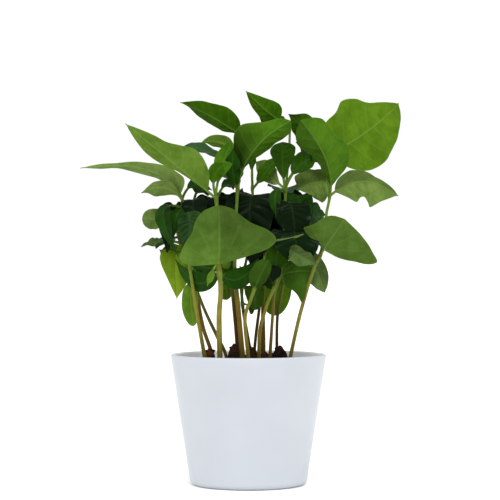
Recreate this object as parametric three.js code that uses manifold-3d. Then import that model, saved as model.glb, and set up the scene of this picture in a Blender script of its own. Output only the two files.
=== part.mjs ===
// A clump of fourteen young coffee plants in a plain white tapered pot.
// Millimetres, +Z up, +Y away from the front, origin on the ground under the pot's middle.

import * as THREE from 'three';
import { mergeVertices } from 'three/addons/utils/BufferGeometryUtils.js';
import Module from 'manifold-3d';

const wasm = await Module();
wasm.setup();

// Pot
const potHeight = 100;
const rimRadius = 60;
const footRadius = 44.5;
const potWall = 3;
const floorThickness = 4;
const footRounding = 5;
const rimRounding = 1.4;
const potSegments = 48;

// Soil
const seatGap = 0.3; // between the soil and the pot, and around each stem
const soilEdgeHeight = 90;
const soilCrown = 10; // how far the middle stands above the edge
const crownCentre = [7, 2];
const crownRadius = 36;
const clodCount = 46;
const clodHeight = 5;
// The lumps that show above the rim: place, radius and height of the top.
const lumps = [
  [-30, -8, 5, 104],
  [-10, -4, 6.5, 108],
  [3, 0, 6, 105.5],
  [12, -4, 5, 103],
  [24, -2, 6.5, 104],
  [8, 34, 8, 97],
];
const soilRings = 12;
const soilSpokes = 34;

// Stems and leaves
const stemRadius = 1.9;
const collarGap = 0.45; // between a stem and the shoot on it
const shootRadius = 1.35;
const stemSides = 8;
const bladeThickness = 0.75;
const petioleThickness = 2;
const petioleHalfWidth = 1;
// The stalk's length, how far the tip narrows, where each half is widest (1 is the middle) and how
// full it is (less is fuller), and the height, number and start of the waves along each margin.
const leafDefaults = {
  foliage: {
    petiole: 9, dripTip: 0.6, leftShape: [1, 0.75], rightShape: [1, 0.75], wave: 1.2, waves: 2.5, phase: 0,
  },
  seed: {
    petiole: 5, dripTip: 0, leftShape: [1, 0.45], rightShape: [1, 0.45], wave: 0.8, waves: 1.5, phase: 1,
  },
};

const finishes = {
  pot: { color: 0xe9edf1, roughness: 0.45, metalness: 0 },
  soil: { color: 0x241812, roughness: 0.95, metalness: 0 },
  stem: { color: 0x8a7434, roughness: 0.6, metalness: 0 },
  shoot: { color: 0x4d8a28, roughness: 0.45, metalness: 0 },
};

// Each leaf starts on its stem at a height, heads for the point `via`, bends over and ends at its
// tip. `left` and `right` reach from the midrib to the margin where the blade is widest, as seen
// looking along the leaf at its upper face.
const foliage = (height, via, tip, left, right, more = {}) => ({
  ...leafDefaults.foliage, height, via, tip, left, right, ...more,
});

const seedLeaf = (height, via, tip, left, right, more = {}) => ({
  ...leafDefaults.seed, height, via, tip, left, right, ...more,
});

// A leaf given by its compass bearing (degrees from +X towards +Y), reach, rise and half width.
const spread = (kind, height, bearing, reach, rise, half, more = {}) => ({
  ...leafDefaults[kind], height, bearing, reach, rise, half, ...more,
});

// The seedlings from left to right. `collar` is the height where the tan stem ends and the green
// shoot with its two round seed leaves begins.
const seedlings = [
  {
    stem: [
      [-29, -14, 74], [-34, -16, 103], [-40, -18, 138], [-44.5, -18, 168], [-49, -15, 200],
      [-50.5, -13, 221],
    ],
    collar: 166,
    leaves: [
      foliage(219, [-65, -16, 248], [-127, -26, 242], [2, -11, 4], [-2, 15, -5], { wave: 2, waves: 3 }),
      foliage(218, [-65, -23, 234], [-81, -28, 222], [1, -8, 5], [-1, 6, -5], { wave: 0.6 }),
      foliage(219, [-45, -6, 234], [-33, 6, 231], [-2, 3, 5], [3, -4, -5], { wave: 0.6 }),
      foliage(212, [-80, -18, 224], [-60, -24, 177], [7, -10, 2], [-6, -3, -2], { wave: 1 }),
      foliage(205, [-55, -30, 224], [-56, -38, 188], [9, -2, 3], [-9, -2, -2]),
    ],
  },
  {
    stem: [
      [-24, -4, 74], [-28, -4, 100], [-35, -6, 122], [-39.5, -7, 148], [-42, -6, 170],
      [-45, -3, 192], [-43, 0, 214],
    ],
    collar: 158,
    leaves: [
      seedLeaf(161, [-50, -10, 158], [-43, -14, 122], [5, -2, 1], [-6, 1, 0]),
      seedLeaf(162, [-48, -9, 164], [-57, -11, 167], [0, -3, -12], [0, 4, 5]),
      foliage(165, [-33, -12, 166], [-25, -18, 153], [4, 1, 9], [-5, -2, -9]),
      foliage(208, [-43, -14, 228], [-40, -28, 184], [10, -1, 2], [-4, 0, 0]),
      foliage(213, [-39, 6, 238], [-30, 16, 223], [-6, 3, 7], [6, -3, -7]),
      spread('foliage', 190, 82, 44, 6, 8),
    ],
  },
  {
    stem: [
      [-21, -24, 74], [-22, -26, 100], [-22.5, -29, 130], [-21.5, -31, 150], [-23, -32, 170],
      [-24.5, -28, 195], [-24, -24, 214], [-25, -21, 223],
    ],
    collar: 168,
    leaves: [
      seedLeaf(172, [-21, -48, 187], [-18, -62, 213], [43, -4, 0], [-29, -6, 2],
        { wave: 1.6, leftShape: [1, 0.8], rightShape: [0.6, 0.5] }),
      seedLeaf(173, [-19, -27, 177], [-17, -21, 160], [4, 3, 2], [-4, -3, -2]),
      foliage(219, [-52, -41, 232], [-91, -42, 274], [10, -10, 12], [-5, 9, -7],
        { wave: 1.6, broad: true }),
      foliage(221, [-28, -18, 244], [-11, -14, 264], [-5, 1, 3], [4, 2, -4], { wave: 0.5 }),
      foliage(220, [-30, -12, 236], [-16, -4, 248], [-4, 2, 6], [4, -2, -6], { wave: 0.5 }),
      foliage(218, [-18, -12, 236], [-10, -2, 228], [0, 6, 4], [0, -6, -4], { wave: 0.5 }),
    ],
  },
  {
    stem: [
      [-13, 8, 74], [-17.5, 7, 99], [-24, 6, 113], [-33, 5, 132], [-39, 5, 147], [-47, 6, 168],
      [-54, 8, 190], [-57, 9, 203],
    ],
    collar: 160,
    leaves: [
      foliage(200, [-68, 6, 205], [-82, 2, 204], [1, -3, 8], [-1, 3, -8]),
      foliage(190, [-68, 0, 198], [-84, -6, 185], [1, -6, 2], [-1, 6, -4]),
      seedLeaf(183, [-65, 0, 190], [-57, -2, 144], [9, -3, 1], [-10, -2, -2]),
      spread('foliage', 198, 92, 46, 8, 10),
      spread('seed', 165, 120, 32, 2, 13),
    ],
  },
  {
    stem: [
      [-8, 18, 74], [-9.5, 16, 104], [-12.5, 14, 138], [-13, 14, 160], [-11, 16, 178], [-8, 20, 200],
      [-8, 24, 225], [-9, 26, 249],
    ],
    collar: 160,
    leaves: [
      seedLeaf(172, [-16, 6, 176], [-22, -8, 157], [3, -6, -8], [-2, 6, 10]),
      seedLeaf(172, [-2, 6, 172], [4, -2, 164], [-3, 4, 10], [3, -4, -12]),
      foliage(206, [-14, 4, 241], [-19, -8, 190], [13, 0, 2], [-13, -2, 0]),
      foliage(208, [6, 12, 246], [8, 4, 190], [13, 0, 0], [-13, 0, 2]),
      foliage(230, [-14, 20, 240], [-24, 16, 228], [0, -6, 4], [0, 6, -4], { wave: 0.5 }),
      foliage(247, [-22, 20, 270], [-37, 14, 264], [0, -6, 5], [0, 6, -3], { wave: 0.5 }),
      foliage(245, [-30, 26, 262], [-52, 24, 260], [1, -8, -4], [-1, 8, 4], { wave: 0.8 }),
      spread('foliage', 205, 95, 50, 5, 14),
      spread('foliage', 226, 112, 46, 16, 12),
    ],
  },
  {
    stem: [
      [-3, -16, 74], [-4.5, -18, 100], [-7.5, -20, 135], [-10, -18, 160], [-10, -14, 190],
      [-9, -11, 212], [-8, -9, 228], [-6, -5, 242], [-1, 2, 258], [1, 4, 266],
    ],
    collar: 158,
    leaves: [
      foliage(233, [0, -22, 252], [33, -28, 280], [-13, -6, 12], [10, 6, -8], { broad: true }),
      foliage(231, [-16, -10, 252], [-2, -2, 262], [-9, -4, 2], [8, 4, -2]),
      foliage(264, [-14, 6, 279], [-52, 4, 293], [-3, 10, -6], [5, -9, 8]),
      spread('foliage', 263, 68, 44, 10, 12),
    ],
  },
  {
    stem: [
      [2, -30, 74], [0, -30, 99], [-2.5, -30, 128], [2, -29, 143], [8, -24, 160], [12.5, -16, 175],
      [12, -8, 190], [7, 0, 207], [3.5, 4, 222], [3, 6, 232],
    ],
    collar: 151,
    leaves: [
      seedLeaf(152, [2, -36, 166], [13, -40, 174], [-8, 0, 4], [7, 2, -6]),
      foliage(227, [8, 0, 242], [25, 0, 245], [-3, 3, 6], [3, -3, -5], { wave: 0.6 }),
      foliage(231, [2, 10, 250], [5, 16, 258], [-3, 3, 2], [3, -3, 2], { wave: 0.5 }),
      spread('foliage', 222, 84, 46, 16, 12),
    ],
  },
  {
    stem: [
      [4, 14, 74], [1.5, 12, 104], [-1.5, 12, 133], [-2, 13, 155], [0, 16, 175], [2, 20, 195],
      [3, 22, 208],
    ],
    collar: 148,
    leaves: [
      seedLeaf(150, [8, 2, 160], [6, -8, 136], [6, 0, 2], [-6, 0, 0]),
      foliage(204, [10, 26, 244], [11, 14, 192], [10, 0, 0], [-8, 0, 0]),
      spread('foliage', 180, 82, 48, 4, 13),
    ],
  },
  {
    stem: [
      [4, 28, 74], [5, 28, 104], [8.5, 26, 134], [11, 26, 155], [13, 27, 175], [14, 29, 195],
      [14, 30, 208],
    ],
    collar: 156,
    leaves: [
      seedLeaf(159, [22, 20, 168], [21, 14, 128], [11, 0, 0], [-11, 0, 0]),
      spread('seed', 160, 95, 38, -4, 17),
      spread('foliage', 205, 70, 48, 0, 13),
    ],
  },
  {
    stem: [
      [7, -20, 74], [8, -22, 99], [9, -24, 120], [14, -24, 138], [20, -22, 153], [25, -18, 172],
      [27.5, -14, 195], [28, -12, 212], [28.5, -11, 226], [30, -6, 242], [31.5, 0, 260],
      [32, 3, 276],
    ],
    collar: 152,
    leaves: [
      foliage(226, [24, -28, 244], [23, -34, 262], [-6, -2, 0], [8, 4, 0], { wave: 0.8 }),
      foliage(226, [16, 8, 240], [4, 24, 250], [-3, 3, -5], [4, -3, 5]),
      foliage(230, [37, -4, 248], [50, -4, 251], [-3, 8, 7], [3, -8, -6]),
      foliage(275, [20, 2, 283], [-2, -4, 302], [-7, 4, -6], [5, -4, 6], { wave: 0.8 }),
      spread('foliage', 273, 130, 34, 6, 9),
    ],
  },
  {
    stem: [
      [11, 2, 74], [11.5, 2, 104], [11.3, 4, 131], [12, 8, 155], [16, 11, 175], [19, 12, 195],
      [20, 12, 212],
    ],
    collar: 150,
    leaves: [
      seedLeaf(153, [17, -4, 180], [17, -9, 150], [8, 0, 0], [-8, 0, 0]),
      foliage(208, [22, 2, 226], [23, -6, 203], [4, 0, 1], [-4, 0, 0]),
      foliage(198, [27, 1, 222], [30, -6, 174], [10, 0, 2], [-9, 0, 0]),
      spread('foliage', 184, 60, 48, 2, 12),
    ],
  },
  {
    stem: [
      [15, -12, 74], [16.5, -12, 99], [18.5, -14, 130], [20, -15, 148], [24, -15, 160],
      [29, -12, 180], [31, -11, 191],
    ],
    collar: 152,
    leaves: [
      seedLeaf(160, [36, -13, 164], [47, -13, 156], [-3, 2, 12], [-2, -2, -20], { wave: 1.2 }),
      foliage(189, [43, -14, 220], [47, -19, 192], [7, 0, 4], [-9, -2, 2]),
      foliage(182, [42, -17, 198], [52, -14, 177], [5, 2, 6], [-6, -2, -5]),
    ],
  },
  {
    stem: [
      [22, 10, 74], [22, 8, 100], [22.5, 6, 129], [26, 5, 150], [30, 6, 172], [32, 8, 195],
      [33, 9, 222],
    ],
    collar: 154,
    leaves: [
      foliage(176, [46, 0, 196], [59, -8, 148], [6, 2, 4], [-6, -2, -4]),
      foliage(221, [44, 12, 234], [64, 16, 231], [2, -8, -14], [-3, 8, 9], { wave: 2 }),
      foliage(208, [38, 4, 242], [41, -3, 195], [10, 0, 0], [-10, 0, 0]),
      foliage(180, [38, -2, 192], [43, -7, 164], [8, 0, 2], [-8, 0, 0]),
      foliage(203, [52, 10, 226], [52, 6, 200], [5, 2, 2], [-8, -2, 0]),
      spread('foliage', 216, 100, 50, 10, 13),
      spread('foliage', 200, 52, 42, 2, 11),
    ],
  },
  {
    stem: [
      [27, -8, 74], [33, -12, 100], [41, -18, 133], [50, -24, 165], [55.5, -25, 178],
      [58.5, -20, 196], [59.5, -16, 208], [62, -13, 222], [60, -6, 238], [56, 0, 251],
    ],
    collar: 174,
    leaves: [
      seedLeaf(179, [63, -39, 189], [81, -48, 199], [31, -7, -9], [-24, -4, 9],
        { wave: 1.2, broad: true, leftShape: [0.8, 0.6] }),
      foliage(221, [66, -41, 248], [37, -42, 278], [18, 4, -2], [-16, 4, -3], { broad: true }),
      foliage(221, [86, -12, 242], [113, -18, 221], [2, -6, 6], [-4, 6, -13],
        { wave: 3, waves: 3, broad: true }),
      foliage(250, [84, 20, 268], [119, 44, 296], [20, 4, -24], [-12, -4, 20], { wave: 2, broad: true }),
      foliage(250, [46, 12, 268], [32, 16, 285], [-4, 6, -4], [7, -4, 6]),
      spread('foliage', 183, 62, 40, 2, 11),
      spread('foliage', 240, 88, 50, 8, 13),
    ],
  },
];

function stemCurve(points) {
  return new THREE.CatmullRomCurve3(points.map((p) => new THREE.Vector3(...p)), false, 'catmullrom', 0.5);
}

function pointAtHeight(curve, height) {
  let low = 0;
  let high = 1;
  for (let step = 0; step < 30; step += 1) {
    const middle = (low + high) / 2;
    if (curve.getPoint(middle).z < height) low = middle;
    else high = middle;
  }
  return curve.getPoint(low);
}

// Works out the four points of a leaf that is given by its bearing.
function resolved(leaf, base) {
  if (leaf.bearing === undefined) return leaf;
  const turn = THREE.MathUtils.degToRad(leaf.bearing);
  const out = [Math.cos(turn), Math.sin(turn)];
  const at = (part, up) => {
    const away = leaf.reach * part;
    return [base.x + out[0] * away, base.y + out[1] * away, base.z + up];
  };
  const lift = 0.25 * leaf.reach;
  const fold = 0.25 * leaf.half;
  return {
    ...leaf,
    via: at(0.45, 0.5 * leaf.rise + lift),
    tip: at(1, leaf.rise),
    left: [-out[1] * leaf.half, out[0] * leaf.half, fold],
    right: [out[1] * leaf.half, -out[0] * leaf.half, fold],
  };
}

function solidOf(geometry) {
  const bare = geometry.clone();
  bare.deleteAttribute('normal');
  bare.deleteAttribute('uv');
  const merged = mergeVertices(bare, 1e-4);
  return new wasm.Manifold(new wasm.Mesh({
    numProp: 3,
    vertProperties: new Float32Array(merged.attributes.position.array),
    triVerts: new Uint32Array(merged.index.array),
  }));
}

function geometryOf(solid) {
  const { vertProperties, triVerts } = solid.getMesh();
  const geometry = new THREE.BufferGeometry();
  geometry.setAttribute('position', new THREE.BufferAttribute(new Float32Array(vertProperties), 3));
  geometry.setIndex(new THREE.BufferAttribute(new Uint32Array(triVerts), 1));
  geometry.computeVertexNormals();
  return geometry;
}

// A round rod of one radius along part of a curve.
function rod(curve, fromHeight, toHeight, radius, steps) {
  const points = [];
  for (let i = 0; i <= steps; i += 1) {
    points.push(pointAtHeight(curve, fromHeight + ((toHeight - fromHeight) * i) / steps));
  }
  const section = new THREE.Shape().absarc(0, 0, radius, 0, 2 * Math.PI);
  return new THREE.ExtrudeGeometry(section, {
    steps,
    curveSegments: stemSides / 2,
    extrudePath: new THREE.CatmullRomCurve3(points, false, 'catmullrom', 0.5),
  });
}

const smooth = (x) => THREE.MathUtils.smoothstep(x, 0, 1);

// Width along one half of the blade, 0 at its base and tip and about 1 where it is widest.
function outline([skew, power], dripTip, along) {
  const place = along ** skew;
  return Math.max(4 * place * (1 - place), 0) ** power * (1 - dripTip * smooth((along - 0.7) / 0.3));
}

// A leaf as one closed waved sheet: rows run from inside the stem to the tip, columns from the
// left margin to the right one, and both faces share their diagonals.
function bladeGeometry(leaf, base) {
  const rows = leaf.broad ? 10 : 8;
  const columns = leaf.broad ? 4 : 2;
  const spine = new THREE.QuadraticBezierCurve3(
    base, new THREE.Vector3(...leaf.via), new THREE.Vector3(...leaf.tip));
  const stalk = leaf.petiole / spine.getLength();
  const left = new THREE.Vector3(...leaf.left);
  const right = new THREE.Vector3(...leaf.right);
  const upper = [];
  const lower = [];
  for (let i = 0; i <= rows; i += 1) {
    const v = i === 0 ? 0 : stalk + (1 - stalk) * ((i - 1) / (rows - 1));
    const along = Math.max((v - stalk) / (1 - stalk), 0);
    const heading = spine.getTangent(v);
    const toLeft = left.clone().projectOnPlane(heading);
    const toRight = right.clone().projectOnPlane(heading);
    const across = toRight.clone().sub(toLeft).normalize();
    const up = across.clone().cross(heading).normalize();
    const sheet = bladeThickness + (petioleThickness - bladeThickness) * (1 - smooth(along / 0.12));
    const middle = spine.getPoint(v);
    for (let j = 0; j <= columns; j += 1) {
      const side = (2 * j) / columns - 1;
      const width = outline(side < 0 ? leaf.leftShape : leaf.rightShape, leaf.dripTip, along);
      const reach = (side < 0 ? toLeft : toRight).clone().multiplyScalar(Math.abs(side) * width);
      const least = petioleHalfWidth * (1 - 0.7 * along) * side;
      if (reach.length() < Math.abs(least)) reach.copy(across).multiplyScalar(least);
      const swing = 2 * Math.PI * leaf.waves * along + leaf.phase + (side < 0 ? 1.3 : 0);
      const ripple = leaf.wave * Math.sin(swing) * Math.abs(side) ** 1.5 * width;
      const point = middle.clone().add(reach).addScaledVector(up, ripple);
      upper.push(point.clone().addScaledVector(up, sheet / 2));
      lower.push(point.addScaledVector(up, -sheet / 2));
    }
  }
  return sheetGeometry(upper, lower, rows, columns);
}

// Joins two like grids of points into one closed body. `upper` faces out, `lower` the other way.
function sheetGeometry(upper, lower, rows, columns) {
  const row = columns + 1;
  const under = upper.length;
  const index = [];
  const quad = (a, b, c, d, mirrored) => {
    if (mirrored) index.push(a, b, d, b, c, d);
    else index.push(a, b, c, a, c, d);
  };
  for (let i = 0; i < rows; i += 1) {
    for (let j = 0; j < columns; j += 1) {
      const a = i * row + j;
      const mirrored = j < columns / 2;
      quad(a, a + 1, a + row + 1, a + row, mirrored);
      quad(under + a, under + a + row, under + a + row + 1, under + a + 1, mirrored);
    }
    const first = i * row;
    const last = first + columns;
    quad(first, first + row, under + first + row, under + first);
    quad(last + row, last, under + last, under + last + row);
  }
  for (let j = 0; j < columns; j += 1) {
    const end = rows * row + j;
    quad(j, under + j, under + j + 1, j + 1);
    quad(end + 1, under + end + 1, under + end, end);
  }
  const points = [...upper, ...lower];
  const geometry = new THREE.BufferGeometry().setFromPoints(points);
  geometry.setIndex(index);
  return geometry;
}

function potGeometry() {
  const slope = (rimRadius - footRadius) / potHeight;
  const outerAt = (z) => footRadius + slope * z;
  const profile = [new THREE.Vector2(0, 0)];
  for (let k = 0; k <= 4; k += 1) {
    const angle = (Math.PI / 2) * (k / 4);
    profile.push(new THREE.Vector2(
      outerAt(footRounding) - footRounding * (1 - Math.sin(angle)),
      footRounding * (1 - Math.cos(angle))));
  }
  const rimBase = potHeight - rimRounding;
  for (let k = 0; k <= 4; k += 1) {
    const angle = Math.PI * (k / 4);
    profile.push(new THREE.Vector2(
      outerAt(rimBase) - potWall / 2 + (potWall / 2) * Math.cos(angle),
      rimBase + rimRounding * Math.sin(angle)));
  }
  profile.push(new THREE.Vector2(outerAt(floorThickness + 6) - potWall, floorThickness + 6));
  profile.push(new THREE.Vector2(outerAt(floorThickness) - potWall - 5, floorThickness));
  profile.push(new THREE.Vector2(0, floorThickness));
  return new THREE.LatheGeometry(profile, potSegments).rotateX(Math.PI / 2);
}

// Repeatable draws between 0 and 1.
function seededDraws(seed) {
  let state = seed;
  return () => {
    state = (state * 1664525 + 1013904223) % 4294967296;
    return state / 4294967296;
  };
}

// Clods are low rounded lumps spread evenly over the surface, each of its own size.
const drawClod = seededDraws(7);
const clods = [];
for (let k = 0; k < clodCount; k += 1) {
  const turn = k * 2.39996;
  const distance = 52 * Math.sqrt((k + 0.5) / clodCount);
  clods.push({
    x: distance * Math.cos(turn),
    y: distance * Math.sin(turn),
    radius: 4 + 5 * drawClod(),
    height: clodHeight * (0.3 + 0.7 * drawClod()),
  });
}

function soilHeight(x, y) {
  const fromCrown = Math.hypot(x - crownCentre[0], y - crownCentre[1]);
  let height = soilEdgeHeight + soilCrown * (1 - smooth(fromCrown / crownRadius));
  for (const clod of clods) {
    const near = Math.max(1 - (Math.hypot(x - clod.x, y - clod.y) / clod.radius) ** 2, 0);
    height += 0.6 * clod.height * Math.sqrt(near);
  }
  for (const [lumpX, lumpY, radius, top] of lumps) {
    const near = Math.max(1 - (Math.hypot(x - lumpX, y - lumpY) / radius) ** 2, 0);
    height = Math.max(height, soilEdgeHeight + (top - soilEdgeHeight) * near ** 0.4);
  }
  return height;
}

// The soil fills the pot. Its top is a web of rings and spokes lifted by the clods.
function soilSolid() {
  const slope = (rimRadius - footRadius) / potHeight;
  const wallAt = (z) => footRadius + slope * z - potWall - 2 * seatGap;
  const bottom = floorThickness + seatGap;
  const points = [new THREE.Vector3(0, 0, soilHeight(0, 0))];
  const ring = (radius, heightAt) => {
    for (let k = 0; k < soilSpokes; k += 1) {
      const turn = (2 * Math.PI * k) / soilSpokes;
      const x = radius * Math.cos(turn);
      const y = radius * Math.sin(turn);
      points.push(new THREE.Vector3(x, y, heightAt(x, y)));
    }
  };
  for (let i = 1; i <= soilRings; i += 1) {
    ring((wallAt(soilEdgeHeight) * i) / soilRings, i < soilRings ? soilHeight : () => soilEdgeHeight);
  }
  ring(wallAt(bottom + 8), () => bottom + 8);
  ring(wallAt(bottom) - 6, () => bottom);
  points.push(new THREE.Vector3(0, 0, bottom));
  const index = [];
  const ringStart = (i) => 1 + (i - 1) * soilSpokes;
  const rings = soilRings + 2;
  for (let k = 0; k < soilSpokes; k += 1) {
    const next = (k + 1) % soilSpokes;
    index.push(0, ringStart(1) + k, ringStart(1) + next);
    for (let i = 1; i < rings; i += 1) {
      const inner = ringStart(i);
      const outer = ringStart(i + 1);
      index.push(inner + k, outer + k, outer + next, inner + k, outer + next, inner + next);
    }
    index.push(points.length - 1, ringStart(rings) + next, ringStart(rings) + k);
  }
  const geometry = new THREE.BufferGeometry().setFromPoints(points);
  geometry.setIndex(index);
  return solidOf(geometry);
}

const plant = new THREE.Group();

function addPart(name, geometry, finish) {
  const mesh = new THREE.Mesh(geometry, new THREE.MeshStandardMaterial(finishes[finish]));
  mesh.name = name;
  plant.add(mesh);
}

const stemFoot = 76;
let soil = soilSolid();
seedlings.forEach((seedling, place) => {
  const curve = stemCurve(seedling.stem);
  const number = String(place + 1).padStart(2, '0');
  const top = seedling.stem[seedling.stem.length - 1][2] - 0.5;
  soil = soil.subtract(solidOf(rod(curve, stemFoot - seatGap, 125, stemRadius + seatGap, 3)));
  addPart(`stem_${number}`, rod(curve, stemFoot, seedling.collar, stemRadius, 5), 'stem');
  let shoot = solidOf(rod(curve, seedling.collar + collarGap, top, shootRadius, 6));
  for (const leaf of seedling.leaves) {
    const base = pointAtHeight(curve, Math.min(leaf.height, top - 1.5));
    shoot = shoot.add(solidOf(bladeGeometry(resolved(leaf, base), base)));
  }
  addPart(`shoot_${number}`, geometryOf(shoot), 'shoot');
});
addPart('soil', geometryOf(soil), 'soil');
addPart('pot', potGeometry(), 'pot');

export default plant;
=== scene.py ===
import bpy
import numpy as np
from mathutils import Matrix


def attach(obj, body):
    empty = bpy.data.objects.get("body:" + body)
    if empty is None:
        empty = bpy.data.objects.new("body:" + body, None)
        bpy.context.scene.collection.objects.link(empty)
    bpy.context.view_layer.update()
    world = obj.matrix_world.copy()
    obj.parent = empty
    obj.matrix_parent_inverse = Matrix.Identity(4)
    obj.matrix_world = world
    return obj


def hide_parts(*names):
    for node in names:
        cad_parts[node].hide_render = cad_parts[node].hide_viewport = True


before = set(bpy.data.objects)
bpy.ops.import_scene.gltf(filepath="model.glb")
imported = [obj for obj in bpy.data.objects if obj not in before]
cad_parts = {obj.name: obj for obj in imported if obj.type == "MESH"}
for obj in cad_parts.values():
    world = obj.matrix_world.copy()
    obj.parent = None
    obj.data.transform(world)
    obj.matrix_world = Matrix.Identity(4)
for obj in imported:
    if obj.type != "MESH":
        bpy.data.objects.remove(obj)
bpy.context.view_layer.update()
print("frame loaded with", len(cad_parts), "nodes")
mm = 0.001

# ---- camera and light

view = {
    "distance": 1500,  # of the lens in front of the pot's middle
    "height": 180,
    "aside": 1.2,
    "lens": 140.4,
    "sensor": 36,
    "near": 50,
    "far": 50000,
}
light = {
    "sky": 1.02,
    # where each soft sun stands, its power and how many degrees across it is
    "suns": [
        ((-0.85, -0.55, 0.75), 0.8, 24),
        ((0.85, -0.5, 0.65), 0.8, 24),
        ((0.05, -0.7, 0.8), 0.7, 12),
    ],
}


def addObject(name, data):
    made = bpy.data.objects.new(name, data)
    bpy.context.scene.collection.objects.link(made)
    return made


def makeCamera():
    camera = addObject("camera", bpy.data.cameras.new("camera"))
    camera.location = (view["aside"] * mm, -view["distance"] * mm, view["height"] * mm)
    camera.rotation_euler = (np.pi / 2, 0, 0)
    camera.data.lens = view["lens"]
    camera.data.sensor_width = view["sensor"]
    camera.data.clip_start = view["near"] * mm
    camera.data.clip_end = view["far"] * mm
    bpy.context.scene.camera = camera


def makeSky():
    world = bpy.data.worlds.new("studio")
    world.use_nodes = True
    sky = world.node_tree.nodes["Background"]
    sky.inputs["Color"].default_value = (1, 1, 1, 1)
    sky.inputs["Strength"].default_value = light["sky"]
    bpy.context.scene.world = world
    bpy.context.scene.view_settings.view_transform = "Standard"


def makeSun(number, place, power, softness):
    lamp = addObject(f"sun{number}", bpy.data.lights.new(f"sun{number}", "SUN"))
    lamp.data.energy = power
    lamp.data.angle = np.radians(softness)
    x, y, z = place
    lamp.rotation_euler = (0, np.arctan2(np.hypot(x, y), z), np.arctan2(y, x))


# ---- colours and shader wiring


def tint(red, green, blue):
    # screen values 0 to 255 as the linear colour that a shader takes, by the screen's own curve
    value = np.array([red, green, blue]) / 255
    linear = np.where(value <= 0.04045, value / 12.92, ((value + 0.055) / 1.055) ** 2.4)
    return (*linear.tolist(), 1.0)


def dimmed(colour, share):
    return (*[share * part for part in colour[:3]], 1.0)


class Wire:  # a socket in a shader, with arithmetic that adds Math nodes
    def __init__(self, tree, socket):
        self.tree = tree
        self.socket = socket

    def math(self, operation, other=None, swapped=False):
        made = self.tree.nodes.new("ShaderNodeMath")
        made.operation = operation
        terms = [other, self] if swapped else [self, other]
        for socket, term in zip(made.inputs, terms):
            if isinstance(term, Wire):
                self.tree.links.new(term.socket, socket)
            elif term is not None:
                socket.default_value = term
        return Wire(self.tree, made.outputs[0])

    def __add__(self, other):
        return self.math("ADD", other)

    def __radd__(self, other):
        return self.math("ADD", other, swapped=True)

    def __sub__(self, other):
        return self.math("SUBTRACT", other)

    def __rsub__(self, other):
        return self.math("SUBTRACT", other, swapped=True)

    def __mul__(self, other):
        return self.math("MULTIPLY", other)

    def __rmul__(self, other):
        return self.math("MULTIPLY", other, swapped=True)

    def __pow__(self, other):
        return self.math("POWER", other)

    def size(self):
        return self.math("ABSOLUTE")

    def toWhole(self):  # how far the value is from the nearest whole number
        return ((self + 0.5).math("FRACT") - 0.5).size()


class Finish:  # a material, its shader and the one way to add any other node to it
    def __init__(self, name, **constants):
        self.material = bpy.data.materials.new(name)
        self.material.use_nodes = True
        self.tree = self.material.node_tree
        self.shader = self.tree.nodes["Principled BSDF"]
        for socket, value in constants.items():
            self.shader.inputs[socket.replace("_", " ")].default_value = value

    def node(self, kind, settings=None, values=None, out=0):
        made = self.tree.nodes.new(kind)
        for name, value in (settings or {}).items():
            setattr(made, name, value)
        for name, value in (values or {}).items():
            if isinstance(value, Wire):
                self.tree.links.new(value.socket, made.inputs[name])
            else:
                made.inputs[name].default_value = value
        return Wire(self.tree, made.outputs[out])

    def attribute(self, name, out="Vector"):
        return self.node("ShaderNodeAttribute", {"attribute_name": name}, out=out)

    def split(self, vector):
        made = self.node("ShaderNodeSeparateXYZ", values={0: vector}).socket.node
        return [Wire(self.tree, socket) for socket in made.outputs]

    def noise(self, scale, detail, roughness=0.55, squash=(1, 1, 1)):  # scale in patches to the metre
        here = self.node("ShaderNodeTexCoord", out="Object")
        here = self.node("ShaderNodeMapping", values={"Vector": here, "Scale": squash})
        values = {"Vector": here, "Scale": scale, "Detail": detail, "Roughness": roughness}
        return self.node("ShaderNodeTexNoise", values=values)

    def span(self, value, limits, atLow, atHigh):  # eases from one value to another between the limits
        values = {"Value": value, 1: limits[0], 2: limits[1], 3: atLow, 4: atHigh}
        return self.node("ShaderNodeMapRange", {"interpolation_type": "SMOOTHSTEP"}, values)

    def mix(self, share, first, second, blend="MIX"):
        settings = {"data_type": "RGBA", "blend_type": blend, "clamp_result": False}
        return self.node("ShaderNodeMix", settings, {0: share, 6: first, 7: second}, out=2)

    def bump(self, height, depth, strength):
        values = {"Height": height, "Distance": depth * mm, "Strength": strength}
        return self.node("ShaderNodeBump", values=values)

    def join(self, **links):
        for socket, wire in links.items():
            self.tree.links.new(wire.socket, self.shader.inputs[socket.replace("_", " ")])
        return self.material


# ---- meshes

sharpFrom = 50  # degrees between two faces at which the edge between them starts to look sharp
heightCells = 64  # squares along each side of a patchwork of heights
# how an attribute is stored, by how many numbers each point has
storage = {1: ("FLOAT", "value"), 3: ("FLOAT_VECTOR", "vector"), 4: ("FLOAT_COLOR", "color")}


def gridFaces(rows, columns, start=0):  # quads facing along (next column) x (next row)
    first = (np.arange(rows - 1)[:, None] * columns + np.arange(columns - 1)).ravel() + start
    return np.stack([first, first + 1, first + columns + 1, first + columns], 1)


def makePiece(name, points, faces, material, nodes, attributes):
    mesh = bpy.data.meshes.new(name)
    mesh.from_pydata((points * mm).tolist(), [], [list(face) for face in faces])
    for key, values in attributes.items():
        kind, field = storage[values.size // len(points)]
        layer = mesh.attributes.new(key, kind, "POINT")
        layer.data.foreach_set(field, values.astype(np.float32).ravel())
    mesh.materials.append(material)
    mesh.shade_smooth()
    mesh.set_sharp_from_angle(angle=np.radians(sharpFrom))
    mesh.update()
    piece = addObject(name, mesh)
    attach(piece, "root")
    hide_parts(*nodes)


def spokeAngles(count):
    return 2 * np.pi * np.arange(count) / count


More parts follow.
